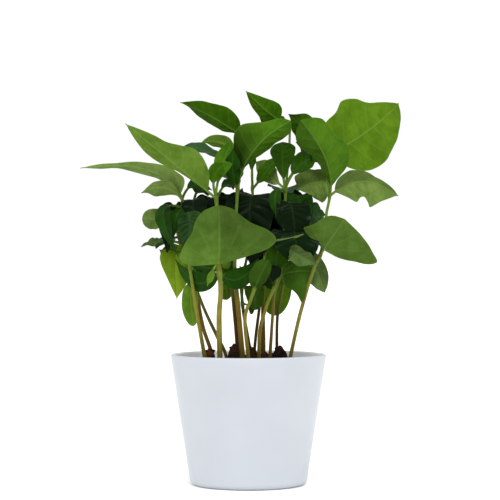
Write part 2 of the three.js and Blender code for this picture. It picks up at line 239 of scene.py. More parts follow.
def spunBody(radii, heights):
    # rings round the upright axis: ring i has radius radii[i] and, at spoke j, height heights[i, j];
    # the first and the last ring are drawn together to a point on the axis
    rings, spokes = heights.shape
    turn = spokeAngles(spokes)
    x = radii[:, None] * np.cos(turn)
    y = radii[:, None] * np.sin(turn)
    inner = np.stack([x, y, heights], 2)[1:-1].reshape(-1, 3)
    poles = np.array([[0, 0, heights[0, 0]], [0, 0, heights[-1, 0]]])
    points = np.vstack([poles, inner])
    j = np.arange(spokes)
    after = (j + 1) % spokes
    last = 2 + (rings - 3) * spokes
    faces = np.stack([0 * j, 2 + after, 2 + j], 1).tolist()
    for i in range(rings - 3):
        near = 2 + i * spokes
        far = near + spokes
        faces += np.stack([near + j, near + after, far + after, far + j], 1).tolist()
    faces += np.stack([0 * j + 1, last + j, last + after], 1).tolist()
    return points, faces


def ease(x):
    x = np.clip(x, 0, 1)
    return x * x * (3 - 2 * x)


def patchwork(x, y, cell, seed):  # heights from -1 to 1, drawn at the corners of squares and eased between
    draws = np.random.default_rng(seed).uniform(-1, 1, (heightCells, heightCells))
    across = x / cell + heightCells / 2
    away = y / cell + heightCells / 2
    i = np.floor(across).astype(int)
    j = np.floor(away).astype(int)
    u = ease(across - i)
    v = ease(away - j)
    i = i % (heightCells - 1)
    j = j % (heightCells - 1)
    near = draws[i, j] * (1 - u) + draws[i + 1, j] * u
    far = draws[i, j + 1] * (1 - u) + draws[i + 1, j + 1] * u
    return near * (1 - v) + far * v


# ---- floor

ground = {
    "reach": 30000,
    "colour": (252, 252, 252),
    "roughness": 0.9,
    "grainScale": 900,
    "grainShade": 0.98,
}


def makeFloor():
    finish = Finish("floorPaper", Roughness=ground["roughness"])
    grain = finish.noise(ground["grainScale"], 2)
    clean = tint(*ground["colour"])
    colour = finish.mix(grain, dimmed(clean, ground["grainShade"]), clean)
    reach = ground["reach"] * mm
    corners = [(-reach, -reach, 0), (reach, -reach, 0), (reach, reach, 0), (-reach, reach, 0)]
    mesh = bpy.data.meshes.new("floor")
    mesh.from_pydata(corners, [], [(0, 1, 2, 3)])
    mesh.materials.append(finish.join(Base_Color=colour))
    floor = addObject("floor", mesh)


# ---- pot

pot = {
    "height": 100,
    "rimRadius": 60,
    "footRadius": 44.5,
    "wall": 3,
    "floor": 4,
    "footRounding": 5,
    "rimRounding": 1.4,
    "innerCorner": (4, 3),  # how far its slant reaches in and up
    "segments": 192,
    "footRings": 9,
    "wallRings": 30,
    "rimRings": 17,
    "innerRings": 12,
    "specular": 0.45,
    "roughness": (0.33, 0.41),
    "colour": (180, 185, 191),
    # painted light: the inner wall is painted near white against the shade within the rim
    "inside": (246, 248, 250),
    # faint clouds and grain in the plastic
    "cloudScale": 26,
    "cloudSpan": (0.35, 0.7),
    "cloudShade": 0.97,
    "roughSpan": (0.3, 0.7),
    "grainScale": 1400,
    "grainDepth": 0.02,
    "grainStrength": 0.5,
}


def potFinish():
    finish = Finish("potPlastic", Specular_IOR_Level=pot["specular"])
    cloud = finish.noise(pot["cloudScale"], 2)
    grain = finish.noise(pot["grainScale"], 2)
    clean = tint(*pot["colour"])
    colour = finish.mix(finish.span(cloud, pot["cloudSpan"], 0, 1), clean, dimmed(clean, pot["cloudShade"]))
    # painted light: near white on the inner wall, where the rim shades it
    colour = finish.mix(finish.attribute("inside", "Fac"), colour, tint(*pot["inside"]))
    rough = finish.span(cloud, pot["roughSpan"], *pot["roughness"])
    bump = finish.bump(grain, pot["grainDepth"], pot["grainStrength"])
    return finish.join(Base_Color=colour, Roughness=rough, Normal=bump)


def potRadius(height):  # of the wall's outer face
    slope = (pot["rimRadius"] - pot["footRadius"]) / pot["height"]
    return pot["footRadius"] + slope * height


def makePot():
    # outer wall: a straight cone between a quarter round at the foot and a half round at the rim
    foot = pot["footRounding"]
    rimBase = pot["height"] - pot["rimRounding"]
    cornerIn, cornerUp = pot["innerCorner"]
    bend = np.linspace(0, np.pi / 2, pot["footRings"])
    cap = np.linspace(0, np.pi, pot["rimRings"])
    half = pot["wall"] / 2
    wallUp = np.linspace(foot, rimBase, pot["wallRings"])[1:-1]
    wallDown = np.linspace(rimBase, pot["floor"] + cornerUp, pot["innerRings"])[1:]
    radii = np.concatenate([
        [0, potRadius(0) / 2],
        potRadius(foot) - foot * (1 - np.sin(bend)),
        potRadius(wallUp),
        potRadius(rimBase) - half + half * np.cos(cap),
        potRadius(wallDown) - pot["wall"],
        [potRadius(pot["floor"]) - pot["wall"] - cornerIn, 0],
    ])
    heights = np.concatenate([
        [0, 0],
        foot * (1 - np.cos(bend)),
        wallUp,
        rimBase + pot["rimRounding"] * np.sin(cap),
        wallDown,
        [pot["floor"], pot["floor"]],
    ])
    points, faces = spunBody(radii, np.repeat(heights[:, None], pot["segments"], 1))
    slack = 0.4  # so that the inner wall's own points get the painted light too
    # the inner wall above the pot's floor, which gets the painted light
    inner = np.hypot(points[:, 0], points[:, 1]) < potRadius(points[:, 2]) - pot["wall"] + slack
    inside = inner & (points[:, 2] > pot["floor"])
    makePiece("potShell", points, faces, potFinish(), ["pot"], {"inside": inside})


# ---- soil

soil = {
    "edge": 90,
    "crown": 10,  # how far the middle stands above the edge
    "crownCentre": (7, 2),
    "crownRadius": 36,
    "gap": 0.3,  # to the pot's floor, and twice as much to its wall
    "edgeFade": 3,  # width of the level rim of the bed
    "footCorner": (6, 8),  # how far the slant at the bottom reaches in and up
    "rings": 110,
    "spokes": 300,
    # depth, cell size and seed of each scale of roughness
    "clods": [(1.2, 9, 1), (1.1, 4, 2), (0.9, 1.6, 3)],
    # place, radius, height and redness of the lumps that show above the rim
    "lumps": [(-30, -8, 5, 104, 1.3), (-10, -4, 6.5, 108, 0.25), (3, 0, 6, 105.5, 0.5),
              (12, -4, 5, 103, 0.6), (24, -2, 7, 105, 0), (8, 34, 8, 97, 0)],
    "lumpRoundness": 0.4,  # an exponent, 1 for a dome and less for a steeper side
    "lumpRoughness": 0.9,
    "specular": 0.08,
    "roughness": (0.75, 0.95),
    "dark": (9, 7, 5),
    "brown": (30, 21, 14),
    "red": (78, 42, 18),
    "redShare": 0.6,
    "patchScale": 130,
    "grainScale": 1100,
    "bumpDepth": 0.9,
    "bumpStrength": 0.9,
}
crumb = {
    "count": 900,
    "size": (0.5, 1.9),
    "shrink": (0.35, 1),  # a second factor, so that small ones are common
    "corner": (0.75, 1.15),
    "stretch": (0.6, 1.3),
    "tilt": 0.6,  # radians at most
    "reach": 52,  # how far from the middle they lie
    "lift": 0.25,  # of the middle above the soil, as a share of the size
    "seed": 11,
}


def lumpNearness(x, y, lumpX, lumpY, radius):  # 1 in the middle of a lump, 0 at its edge and beyond
    return np.clip(1 - (np.hypot(x - lumpX, y - lumpY) / radius) ** 2, 0, 1)


def soilHeight(x, y):
    # a low dome on a level bed, roughened at three scales, with round lumps standing out of it
    away = np.hypot(x - soil["crownCentre"][0], y - soil["crownCentre"][1])
    rough = sum(depth * patchwork(x, y, cell, seed) for depth, cell, seed in soil["clods"])
    height = soil["edge"] + soil["crown"] * (1 - ease(away / soil["crownRadius"])) + rough
    for lumpX, lumpY, radius, top, _ in soil["lumps"]:
        near = lumpNearness(x, y, lumpX, lumpY, radius)
        dome = (top - soil["edge"]) * near ** soil["lumpRoundness"]
        lump = soil["edge"] + dome + soil["lumpRoughness"] * rough
        height = np.where(near > 0, np.maximum(height, lump), height)
    return height


def soilRedness(x, y):  # each lump fades from its own redness to nothing at its edge
    redness = np.zeros_like(x)
    for lumpX, lumpY, radius, _, red in soil["lumps"]:
        redness = np.maximum(redness, red * ease(2 * lumpNearness(x, y, lumpX, lumpY, radius)))
    return redness


def soilFinish():
    finish = Finish("pottingSoil", Specular_IOR_Level=soil["specular"])
    patches = finish.noise(soil["patchScale"], 4, 0.6)
    grains = finish.noise(soil["grainScale"], 4, 0.7)
    redness = finish.attribute("redness", "Fac")
    colour = finish.mix(finish.span(patches, (0.35, 0.65), 0, 1), tint(*soil["dark"]), tint(*soil["brown"]))
    reddish = finish.span(grains, (0.5, 0.72), 0, 0.55) * finish.span(patches, (0.4, 0.7), 0.2, 1)
    colour = finish.mix(reddish + redness * soil["redShare"], colour, tint(*soil["red"]))
    bump = finish.bump(grains + patches, soil["bumpDepth"], soil["bumpStrength"])
    rough = finish.span(grains, (0.3, 0.7), *soil["roughness"])
    return finish.join(Base_Color=colour, Roughness=rough, Normal=bump)


def makeSoilBed(finish):
    wallAt = lambda height: potRadius(height) - pot["wall"] - 2 * soil["gap"]
    cornerIn, cornerUp = soil["footCorner"]
    bottom = pot["floor"] + soil["gap"]
    top = np.linspace(0, wallAt(soil["edge"]), soil["rings"])
    turn = spokeAngles(soil["spokes"])
    level = soilHeight(top[:, None] * np.cos(turn), top[:, None] * np.sin(turn))
    fade = ease((top[-1] - top) / soil["edgeFade"])[:, None]
    level = soil["edge"] * (1 - fade) + level * fade
    under = np.array([wallAt(bottom + cornerUp), wallAt(bottom) - cornerIn, 0])
    below = np.repeat(np.array([bottom + cornerUp, bottom, bottom])[:, None], soil["spokes"], 1)
    radii = np.concatenate([top, under])[::-1]
    points, faces = spunBody(radii, np.vstack([level, below])[::-1])
    redness = soilRedness(points[:, 0], points[:, 1])
    makePiece("soilBed", points, faces, finish, ["soil"], {"redness": redness})


def rotated(points, first, second, angle):  # each pebble turned by its angle from one axis to another
    cosine = np.cos(angle)[:, None]
    sine = np.sin(angle)[:, None]
    result = points.copy()
    result[..., first] = points[..., first] * cosine - points[..., second] * sine
    result[..., second] = points[..., first] * sine + points[..., second] * cosine
    return result


def makeCrumbs(finish):
    # twenty-faced pebbles, each with its own corner radii, stretch and turn
    gold = (1 + 5 ** 0.5) / 2
    signs = [(a, b) for b in (1, -1) for a in (-1, 1)]
    corners = np.array([np.roll((a, b * gold, 0), turn) for turn in range(3) for a, b in signs])
    corners = corners / np.linalg.norm(corners[0])
    sides = np.array([(0, 11, 5), (0, 5, 1), (0, 1, 7), (0, 7, 10), (0, 10, 11), (1, 5, 9), (5, 11, 4),
                      (11, 10, 2), (10, 7, 6), (7, 1, 8), (3, 9, 4), (3, 4, 2), (3, 2, 6), (3, 6, 8),
                      (3, 8, 9), (4, 9, 5), (2, 4, 11), (6, 2, 10), (8, 6, 7), (9, 8, 1)])
    draw = np.random.default_rng(crumb["seed"])
    count = crumb["count"]
    size = draw.uniform(*crumb["size"], (count, 1, 1)) * draw.uniform(*crumb["shrink"], (count, 1, 1))
    shape = corners * draw.uniform(*crumb["corner"], (count, len(corners), 1))
    shape = shape * draw.uniform(*crumb["stretch"], (count, 1, 3))
    yaw = draw.uniform(0, 2 * np.pi, count)
    tilt = draw.uniform(-crumb["tilt"], crumb["tilt"], count)
    shape = rotated(rotated(shape, 0, 2, tilt), 0, 1, yaw)
    reach = crumb["reach"] * np.sqrt(draw.uniform(0, 1, count))
    bearing = draw.uniform(0, 2 * np.pi, count)
    x = reach * np.cos(bearing)
    y = reach * np.sin(bearing)
    z = soilHeight(x, y) + crumb["lift"] * size[:, 0, 0]
    points = (shape * size + np.stack([x, y, z], 1)[:, None]).reshape(-1, 3)
    faces = (sides + len(corners) * np.arange(count)[:, None, None]).reshape(-1, 3)
    redness = np.repeat(draw.uniform(0, 1, count) ** 3, len(corners))  # few are red
    makePiece("soilCrumbs", points, faces, finish, ["soil"], {"redness": redness})


# ---- leaves

# The screen colours of the upper and the lower face, the gloss of the upper one and how much of the
# stem's green the leaf stalk takes.
looks = {
    "sunny": ((92, 128, 28), (86, 122, 26), 0.3, 0.6),
    "bright": ((92, 126, 36), (98, 130, 46), 0.3, 0.6),
    "fresh": ((57, 96, 14), (60, 98, 17), 0.4, 0.6),
    "leafy": ((66, 106, 22), (70, 108, 26), 0.4, 0.6),
    "mid": ((43, 77, 9), (51, 85, 13), 0.7, 0.5),
    "deep": ((31, 64, 4), (36, 68, 8), 0.8, 0.3),
    # near black: a dark green darkened further as painted shade, for leaves in the middle of the clump
    "black": ((9, 24, 3), (16, 34, 8), 1.0, 0.12),
    "satin": ((36, 60, 30), (44, 68, 36), 1.0, 0.15),
    "withered": ((52, 34, 10), (70, 50, 20), 0.1, 0),
    "lime": ((113, 142, 34), (116, 144, 40), 0.2, 0.5),
    "pale": ((100, 124, 58), (110, 136, 66), 0.2, 0.5),
    "grey": ((78, 100, 50), (104, 130, 72), 0.8, 0.5),
    "matt": ((70, 100, 34), (80, 109, 42), 0.2, 0.6),
    "dull": ((50, 77, 24), (55, 83, 29), 0.2, 0.6),
}

# What a leaf has unless its own line below says otherwise: petiole, the length of its stalk; shape and
# dripTip, as halfWidth takes them, with leftShape or rightShape for one side alone; wave, waves and
# phase, the height, number and start of its ripples; veins, how many on each side, or 0 for a fan;
# quilt, how far it swells between them; dimple, how far it bulges here and there; cup, how far it curls
# up, as a share of its width; lobe, how far the base reaches back round the stalk; shade, painted light
# and shade, and on satin leaves a painted highlight, that makes the left and the right side brighter or
# darker; ends, the same painted light and shade for base and tip; corner, a painted shadow on the
# base's right side.
kinds = {
    "foliage": {"petiole": 9, "shape": (1, 0.75), "dripTip": 0.6, "wave": 1.2, "waves": 2.5, "phase": 0,
                "veins": 7, "quilt": 0.65, "dimple": 0.5, "cup": 0.05, "lobe": 0, "shade": (1, 1),
                "ends": (1, 1), "corner": 1},
    # a seed leaf has the rest from a foliage leaf
    "seed": {"petiole": 5, "shape": (1, 0.45), "dripTip": 0, "wave": 0.8, "waves": 1.5, "phase": 1,
             "veins": 0, "quilt": 0.4, "dimple": 0.8, "cup": 0.03},
}

blade = {
    "sheen": 0.004,  # white that the surface adds to every look
    "least": 0.0006,  # what is left of a colour part at least
    "dimming": 0.76,  # makes up for lamps brighter than a white sky
    "thickness": 0.4,
    "marginShare": 0.35,  # of the thickness that is left at the margin
    "stalkRadius": 1.0,
    "stalkTaper": 0.7,  # share of that radius which the midrib loses by the tip
    "stalkBlend": 0.07,  # share of the blade over which the stalk flattens out
    "ribHeight": 0.75,
    "ribWidth": 0.9,
    "ribTaper": 0.8,
    "groove": 0.18,
    "rowSpacing": 1.1,
    "rows": (22, 76),  # fewest and most
    "stalkRows": 6,
    "columnSpacing": 1.3,
    "columns": (6, 22),  # fewest and most on each side
    "veinLean": 0.17,  # how far side veins run tipwards, as a share of the blade
    "veinStagger": 0.35,  # between the two sides, in vein spacings
    "fanStep": 0.42,  # radians between the veins of a seed leaf
    "fanStart": 1.5,
    "outOfStep": 1.3,  # radians between the ripples of the two margins
    "dimpleSize": 12,
    "lowerGloss": 0.12,
}


def foliage(height, via, tip, left, right, look="mid", **more):
    return {**kinds["foliage"], "height": height, "via": via, "tip": tip, "left": left, "right": right,
            "look": look, **more}


def seedLeaf(height, via, tip, left, right, look="matt", **more):
    return foliage(height, via, tip, left, right, look, **{**kinds["seed"], **more})


def darkLeaf(height, via, tip, left, right, **more):  # a big one in the middle of the clump, near black with painted shade
    own = {"shape": (1.5, 0.6), "quilt": 0.8, "cup": 0.12}
    return foliage(height, via, tip, left, right, "black", **{**own, **more})


def spread(height, bearing, reach, rise, half, look="deep", kind="foliage"):
    # bearing in degrees from +X towards +Y, half is the half width
    return {**kinds["foliage"], **kinds[kind], "height": height, "bearing": bearing, "reach": reach,
            "rise": rise, "half": half, "look": look}


# From left to right. `collar` is the height where the tan stem ends and the green shoot begins, and
# `girth` is how thick the stem is beside the sizes in `stalk`. For each leaf: where it leaves the
# stem, the point it heads for first, its tip, the vectors from the midrib to its left and right
# margins as seen along it, and its look. A leaf's shade, ends and corner are painted light and shade.
seedlings = [
    dict(collar=166, girth=0.75, bark=(134, 130, 48), stem=[
        (-29, -14, 74), (-34, -16, 103), (-40, -18, 138), (-44.5, -18, 168), (-49, -15, 200),
        (-50.5, -13, 221),
    ], leaves=[
        foliage(219, (-63, -18, 251), (-127, -26, 242), (0, -7, 9.1), (0, 8, -5.3), "pale", petiole=4,
                wave=0.5, leftShape=(0, 1.4, 1.2, 0.8, 0.55, 0.42, 0.2, 0.15, 0),
                rightShape=(0, 0.55, 0.7, 0.8, 1, 0.7, 0.35, 0.4, 0), shade=(1.15, 1.15)),
        foliage(218, (-61, -22, 233.5), (-81, -28, 223), (0, -5, 5.3), (0, 5, -6.6), "pale", petiole=4,
                wave=0.4),
        foliage(219, (-45, -6, 237), (-28, 4, 226), (0, 4, 5), (0, -5, -5), "deep", wave=0.6),
        foliage(212, (-78, -22, 222), (-53, -24, 175), (6, -4, -1), (-6, 4, 1), "deep", wave=0.8,
                shade=(0.6, 1)),
        foliage(211, (-54.2, -21, 212.6), (-58, -21, 189.1), (8, 0, 1), (-7, 0, -1), "deep", petiole=3),
        foliage(205, (-40, -26, 218), (-48, -27, 174), (11, 0, 2), (-9, 0, -1), "satin", veins=9, quilt=1.8,
                shade=(1.5, 1.2)),
        foliage(207, (-62, -5, 230), (-62, -8, 178), (10, -2, 2), (-9, 2, -1), "black", petiole=5,
                quilt=0.8, shape=(1.2, 0.5)),
    ]),
    dict(collar=158, girth=0.75, bark=(118, 94, 36), stem=[
        (-24, -4, 74), (-28, -4, 100), (-35, -6, 122), (-39.5, -7, 148), (-42, -6, 170), (-45, -3, 192),
        (-43, 0, 214),
    ], leaves=[
        seedLeaf(161, (-47, -9, 150), (-42, -13, 122), (6, -2, 1), (-7, 1, 0), "bright", petiole=10),
        seedLeaf(162, (-50, -1, 172), (-57, 2, 160), (3, -3, -5), (-3, 3, 5), "deep"),
        foliage(208, (-43, -12, 238), (-40, -24, 184), (10, -1, 2), (-9, 0, 0), "black", petiole=5,
                shape=(1.4, 0.6)),
        foliage(213, (-39, 6, 238), (-30, 16, 223), (-6, 3, 7), (6, -3, -7), "deep"),
        spread(190, 82, 44, 6, 12),
        spread(172, 140, 34, 4, 11, "mid"),
    ]),
    dict(collar=166, girth=1, bark=(140, 134, 56), stem=[
        (-21, -24, 74), (-21.5, -26, 100), (-22, -29, 130), (-20.8, -31, 150), (-22.5, -32, 170),
        (-24.5, -28, 195), (-24, -24, 214), (-25, -21, 223),
    ], leaves=[
        seedLeaf(169, (-21, -48, 186), (-22, -62, 213), (42.5, -4, 6), (-29.5, -6, 3), petiole=1, wave=1.2,
                 lobe=8, leftShape=(0.05, 0.3, 0.57, 0.88, 1, 0.85, 0.54, 0.35, 0.17),
                 rightShape=(0.5, 0.88, 1, 0.94, 0.83, 0.68, 0.62, 0.5, 0.25), shade=(0.75, 1.05),
                 ends=(1.6, 0.95)),
        seedLeaf(173, (-19, -27, 177), (-15, -21, 166), (4, 3, 2), (-4, -3, -2), "bright"),
        foliage(219, (-54, -40, 243.5), (-92, -42, 274.5), (11, -9, 13.3), (-4.4, 5, -5.2), "bright",
                wave=0.8, leftShape=(0, 0.6, 0.92, 1, 0.79, 0.52, 0.38, 0.2, 0),
                rightShape=(0, 0.2, 0.25, 0.45, 0.95, 1.05, 0.95, 0.65, 0)),
        foliage(221, (-23.9, -18, 236.2), (-13.3, -14, 263.8), (-6.5, 0, 3), (6.5, 0, -3), "leafy",
                wave=0.5, shape=(0, 0.12, 0.3, 0.6, 0.9, 1, 0.85, 0.5, 0), shade=(1.15, 1.15)),
        foliage(220, (-30.6, -24, 238.3), (-17.7, -22, 245.9), (-5, -1, 3.5), (4, 1, -4), "fresh",
                wave=0.5),
        foliage(218, (-18, -12, 236), (-10, -2, 228), (0, 6, 4), (0, -6, -4), "deep", wave=0.5),
        foliage(171, (-26.5, -33, 167), (-31, -35, 153), (3, -1, 0), (-2.5, -1, 0), "bright", wave=0.3),
        foliage(164, (-39, -17, 142), (-56, -8, 173), (0, 2, -6.5), (0, -2, 9), "deep", petiole=2, wave=0.6,
                leftShape=(0.6, 0.9, 1, 1, 1, 0.95, 0.8, 0.5, 0), rightShape=(1, 0.4), shade=(1.15, 1.15)),
        foliage(167, (-31.3, -25, 164.9), (-44.4, -18, 170.1), (0, 1, -5), (0, -1, 6), "deep", petiole=2,
                shape=(1, 0.4)),
        foliage(162, (-6.5, -26, 149), (7, -27, 173), (-1, 1, 9), (1, -1, -7.5), "deep", petiole=2,
                wave=0.6, shape=(1, 0.4), shade=(1, 0.9)),
        foliage(186, (10, -46, 183), (41, -46, 191.5), (0, 0.3, 0.8), (0, -0.3, -0.8), "grey", petiole=1,
                wave=0, quilt=0, dimple=0),
    ]),
    dict(collar=160, girth=0.65, bark=(108, 104, 42), stem=[
        (-13, 8, 74), (-17.5, 7, 99), (-24, 6, 113), (-33, 5, 132), (-39, 5, 147), (-47, 6, 168),
        (-54, 8, 190), (-57, 9, 203),
    ], leaves=[
        foliage(200, (-67, 5, 205), (-82, 2, 203.5), (0, -3, 8), (0, 3, -8), "pale", wave=0.4,
                shape=(0, 0.6, 0.85, 1, 1, 1, 0.9, 0.7, 0.3)),
        foliage(190, (-68, -2, 188), (-82.5, -6, 182.5), (0, -4, -2.5), (0, 5, 3), "grey", quilt=0.6),
        seedLeaf(183, (-58, 0, 190), (-55, -2, 142), (13, -3, 1), (-11, -2, -1), "lime", petiole=4,
                 leftShape=(0, 0.55, 0.75, 0.85, 0.97, 1.05, 0.92, 0.55, 0),
                 rightShape=(0, 0.42, 0.62, 0.95, 1.12, 1, 0.7, 0.36, 0)),
        spread(198, 92, 46, 8, 13),
        spread(165, 120, 32, 2, 13, "mid", kind="seed"),
        spread(185, 140, 26, -4, 10),
    ]),
    dict(collar=160, girth=0.82, bark=(86, 64, 20), stem=[
        (-7.5, 18, 74), (-8.3, 16, 104), (-11.3, 14, 138), (-13, 14, 160), (-11, 16, 178), (-8, 20, 200),
        (-8, 24, 225), (-9, 26, 249),
    ], leaves=[
        seedLeaf(172, (-16, 6, 176), (-22, -8, 157), (3, -6, -8), (-2, 6, 10), "mid"),
        darkLeaf(206, (-14, 6, 251), (-19, -6, 182), (15, 2, 4), (-13, -3, -5)),
        darkLeaf(200, (-33.5, 2, 249), (-38.6, -8, 184), (13, 0, 3), (-12, -2, -4)),
        foliage(247, (-12, 18, 268), (-37, 14, 263.5), (1, -4, 5.8), (-1, 5, -3.9), "bright", wave=0.4,
                leftShape=(0, 0.6, 0.9, 1, 1, 0.95, 0.8, 0.5, 0), shade=(1.7, 1.7)),
        foliage(245, (-34, 26, 262), (-51, 24, 261), (0, -5, -3.5), (0, 6, 4.7), "satin", wave=0.8,
                shade=(2, 1.9)),
        spread(205, 95, 50, 5, 15),
        spread(226, 112, 46, 16, 13, "mid"),
        spread(190, 60, 44, 0, 13, "mid"),
        seedLeaf(158, (-20, 20, 156), (-17, 24, 141), (6, 0, 2), (-6, 0, -2), "bright"),
    ]),
    dict(collar=158, girth=0.95, bark=(122, 100, 34), stem=[
        (-3, -16, 74), (-4.5, -18, 100), (-7.5, -20, 135), (-10, -18, 160), (-10, -14, 190), (-9, -11, 212),
        (-8, -9, 228), (-6, -5, 242), (-1, 2, 258), (1, 4, 266),
    ], leaves=[
        foliage(233, (1, -22, 262), (32, -28, 277.5), (6.3, 5, -5.2), (-13.6, -5, 11.4), "leafy", wave=0.8,
                leftShape=(0, 0.28, 0.55, 0.88, 1.03, 0.95, 1.12, 1.05, 0.45),
                rightShape=(0, 0.6, 0.82, 1.08, 1.07, 0.8, 0.52, 0.36, 0.1), shade=(1.05, 0.95),
                # a painted shadow darkens this leaf's base, most of all on its right side
                ends=(0.5, 1.4), corner=0.2),
        foliage(226, (-14, -16, 240), (-11, -18, 258), (-6, 0, 0), (6, 0, 0), "deep", petiole=3),
        foliage(264, (-21, 6, 281), (-52.5, 4, 294), (5.6, -7, 9.7), (-2.9, 8, -5), "fresh", wave=0.5,
                leftShape=(0, 0.7, 0.95, 1, 0.93, 0.8, 0.62, 0.32, 0),
                rightShape=(0, 0.4, 0.8, 0.9, 1, 0.83, 0.6, 0.16, 0)),
        spread(263, 68, 44, 10, 12, "fresh"),
    ]),
    dict(collar=151, girth=0.7, bark=(122, 116, 44), stem=[
        (2, -30, 74), (0, -30, 99), (-2.5, -30, 128), (2, -29, 143), (8, -24, 160), (12.5, -16, 175),
        (12, -8, 190), (7, 0, 207), (3.5, 4, 222), (3, 6, 232),
    ], leaves=[
        seedLeaf(151, (7.2, -34, 158.2), (15.1, -40, 172.5), (-7, 0, 4), (4.5, 2, -4), "dull", petiole=1,
                 leftShape=(0.4, 0.7, 0.9, 1, 1, 1, 0.95, 0.75, 0.3),
                 rightShape=(0.3, 0.6, 0.8, 1, 1, 1, 0.95, 0.75, 0.3), shade=(1.1, 0.9)),
        foliage(227, (9, 0, 234), (23, 0, 253), (-4, 3, 4), (3, -3, -3.5), "fresh", wave=0.6),
        foliage(231, (2, 10, 250), (5, 16, 258), (-3, 3, 2), (3, -3, 2), "mid", wave=0.5),
        spread(208, 84, 46, 8, 12, "mid"),
        foliage(178, (13.4, -10, 193.8), (10.4, -8, 169.3), (9, 0, 0), (-9, 0, 0), "black", petiole=4,
                shape=(1.5, 0.5)),
        foliage(218, (0, -20, 236), (1, -16, 169), (19, -2, 1), (-18, 9, 1), "black", petiole=4, veins=8,
                quilt=0.9, cup=0.1, leftShape=(0, 0.6, 0.95, 1, 1, 0.95, 0.85, 0.7, 0.3),
                rightShape=(0, 0.6, 0.95, 1, 1, 0.9, 0.75, 0.45, 0)),
    ]),
    dict(collar=148, girth=0.65, bark=(62, 52, 16), stem=[
        (4, 14, 74), (1, 12, 104), (-4, 12, 133), (-5, 13, 155), (-1, 16, 175), (2, 20, 195), (3, 22, 208),
    ], leaves=[
        seedLeaf(150, (6, 0, 157), (5, -8, 134), (8, 0, 2), (-7, 0, 0), "dull", shade=(1.5, 1.5)),
        seedLeaf(138, (4, -2, 140), (2, -8, 131), (2.5, 0, 0), (-2.5, 0, 0), "dull", petiole=2),
        darkLeaf(204, (4, 12, 252), (6, 0, 178), (15, 0, -3), (-15, 0, 4)),
        spread(180, 82, 48, 4, 14),
        spread(166, 40, 36, 0, 11, "mid"),
    ]),
    dict(collar=156, girth=0.6, bark=(92, 76, 24), stem=[
        (4, 28, 74), (5, 28, 104), (8.5, 26, 134), (11, 26, 155), (13, 27, 175), (14, 29, 195),
        (14, 30, 208),
    ], leaves=[
        seedLeaf(159, (22, 20, 172), (20, 14, 129), (14, 0, 0), (-13, 0, 0), "sunny", shape=(1.2, 0.45)),
        darkLeaf(205, (19, 16, 250), (17, 4, 176), (15, 1, 5), (-14, 0, -4)),
        spread(160, 95, 38, -4, 17, "leafy", kind="seed"),
        spread(205, 70, 48, 0, 13),
        spread(188, 118, 44, 6, 13, "mid"),
    ]),
    dict(collar=152, girth=0.68, bark=(124, 110, 42), stem=[
        (7, -20, 74), (8, -22, 99), (9, -24, 120), (14, -24, 138), (20, -22, 153), (25, -18, 172),
        (27.5, -14, 195), (28, -12, 212), (28.5, -11, 226), (30, -6, 242), (31.5, 0, 260), (32, 3, 276),
    ], leaves=[
        foliage(224, (24.5, -18, 245), (26.1, -28, 261.5), (-9.5, -2, -1), (10, 3, 0), "mid", wave=0.5,
                leftShape=(0, 0.2, 0.4, 0.55, 0.7, 0.85, 1, 0.9, 0.4),
                rightShape=(0, 0.25, 0.45, 0.65, 0.8, 0.95, 1, 0.9, 0.4), shade=(0.95, 1.05)),
        foliage(228, (37, -14, 250.1), (54.5, -16, 250.8), (-2, 3, 8), (2, -3, -7), "mid", wave=0.6,
                shade=(1.5, 1.3)),
        foliage(226, (16, 8, 238), (5, 20, 249), (-3, 3, -5), (4, -3, 7), "pale", shade=(1.7, 1.5)),
        foliage(230, (37, -4, 248), (51, -4, 251), (-3, 8, 7), (3, -8, -6), "mid", shade=(1.5, 1.5)),
        foliage(275, (14, 2, 285), (-2, -4, 302), (6.4, -4, 7.4), (-4.8, 5, -5.6), "fresh", wave=0.5,
                leftShape=(0, 0.75, 1, 0.95, 0.82, 0.66, 0.46, 0.24, 0),
                rightShape=(0, 0.75, 1, 0.98, 0.88, 0.74, 0.55, 0.3, 0), shade=(1.25, 1.25)),
        foliage(224, (17, -30, 232), (21, -28, 204), (4.5, 0, 0), (-4.5, 0, 0), "deep", wave=0.5),
        foliage(212, (33, -32, 228), (36, -26, 184), (14, 3, -2), (-13, -2, 2), "black", petiole=5, veins=8,
                quilt=0.9, cup=0.1, shape=(1.2, 0.4)),
        seedLeaf(153, (16.5, -28, 157), (12, -28, 167), (-9, 0, -5.5), (9.5, 0, 5.5), "black"),
        foliage(178, (21, -24, 192), (20.5, -24, 159), (8.5, 0, 1), (-8, 0, 0), "mid", petiole=4,
                shape=(1.5, 0.6)),
        foliage(189, (33, -36, 188), (41, -40, 192), (0, 0, 0.9), (0, 0, -0.8), "pale", wave=0.1, dimple=0),
        foliage(273, (28.8, -4, 276.7), (25.3, -6, 273.9), (1, -1, 1.6), (-1, 1, -1.6), "withered",
                petiole=0.5, wave=1.5, dripTip=0),
        spread(273, 130, 34, 6, 10),
    ]),
    dict(collar=150, girth=0.85, bark=(88, 66, 16), stem=[
        (11, 2, 74), (11.5, 2, 104), (11.3, 4, 131), (12, 8, 155), (16, 11, 175), (19, 12, 195),
        (20, 12, 212),
    ], leaves=[
        seedLeaf(153, (17, -4, 180), (17, -9, 150), (8, 0, 0), (-8, 0, 0), "deep"),
        darkLeaf(208, (33, 8, 251), (34, -6, 176), (14, 0, -5), (-14, 0, 3)),
        foliage(172, (20, 2, 192), (21, -8, 162), (6, 0, 1), (-6, 0, 0), "deep"),
        spread(184, 60, 48, 2, 12),
    ]),
    dict(collar=152, girth=0.62, bark=(114, 94, 34), stem=[
        (15, -12, 74), (16.5, -12, 99), (18.5, -14, 130), (20, -15, 148), (24, -15, 160), (29, -12, 180),
        (31, -11, 191),
    ], leaves=[
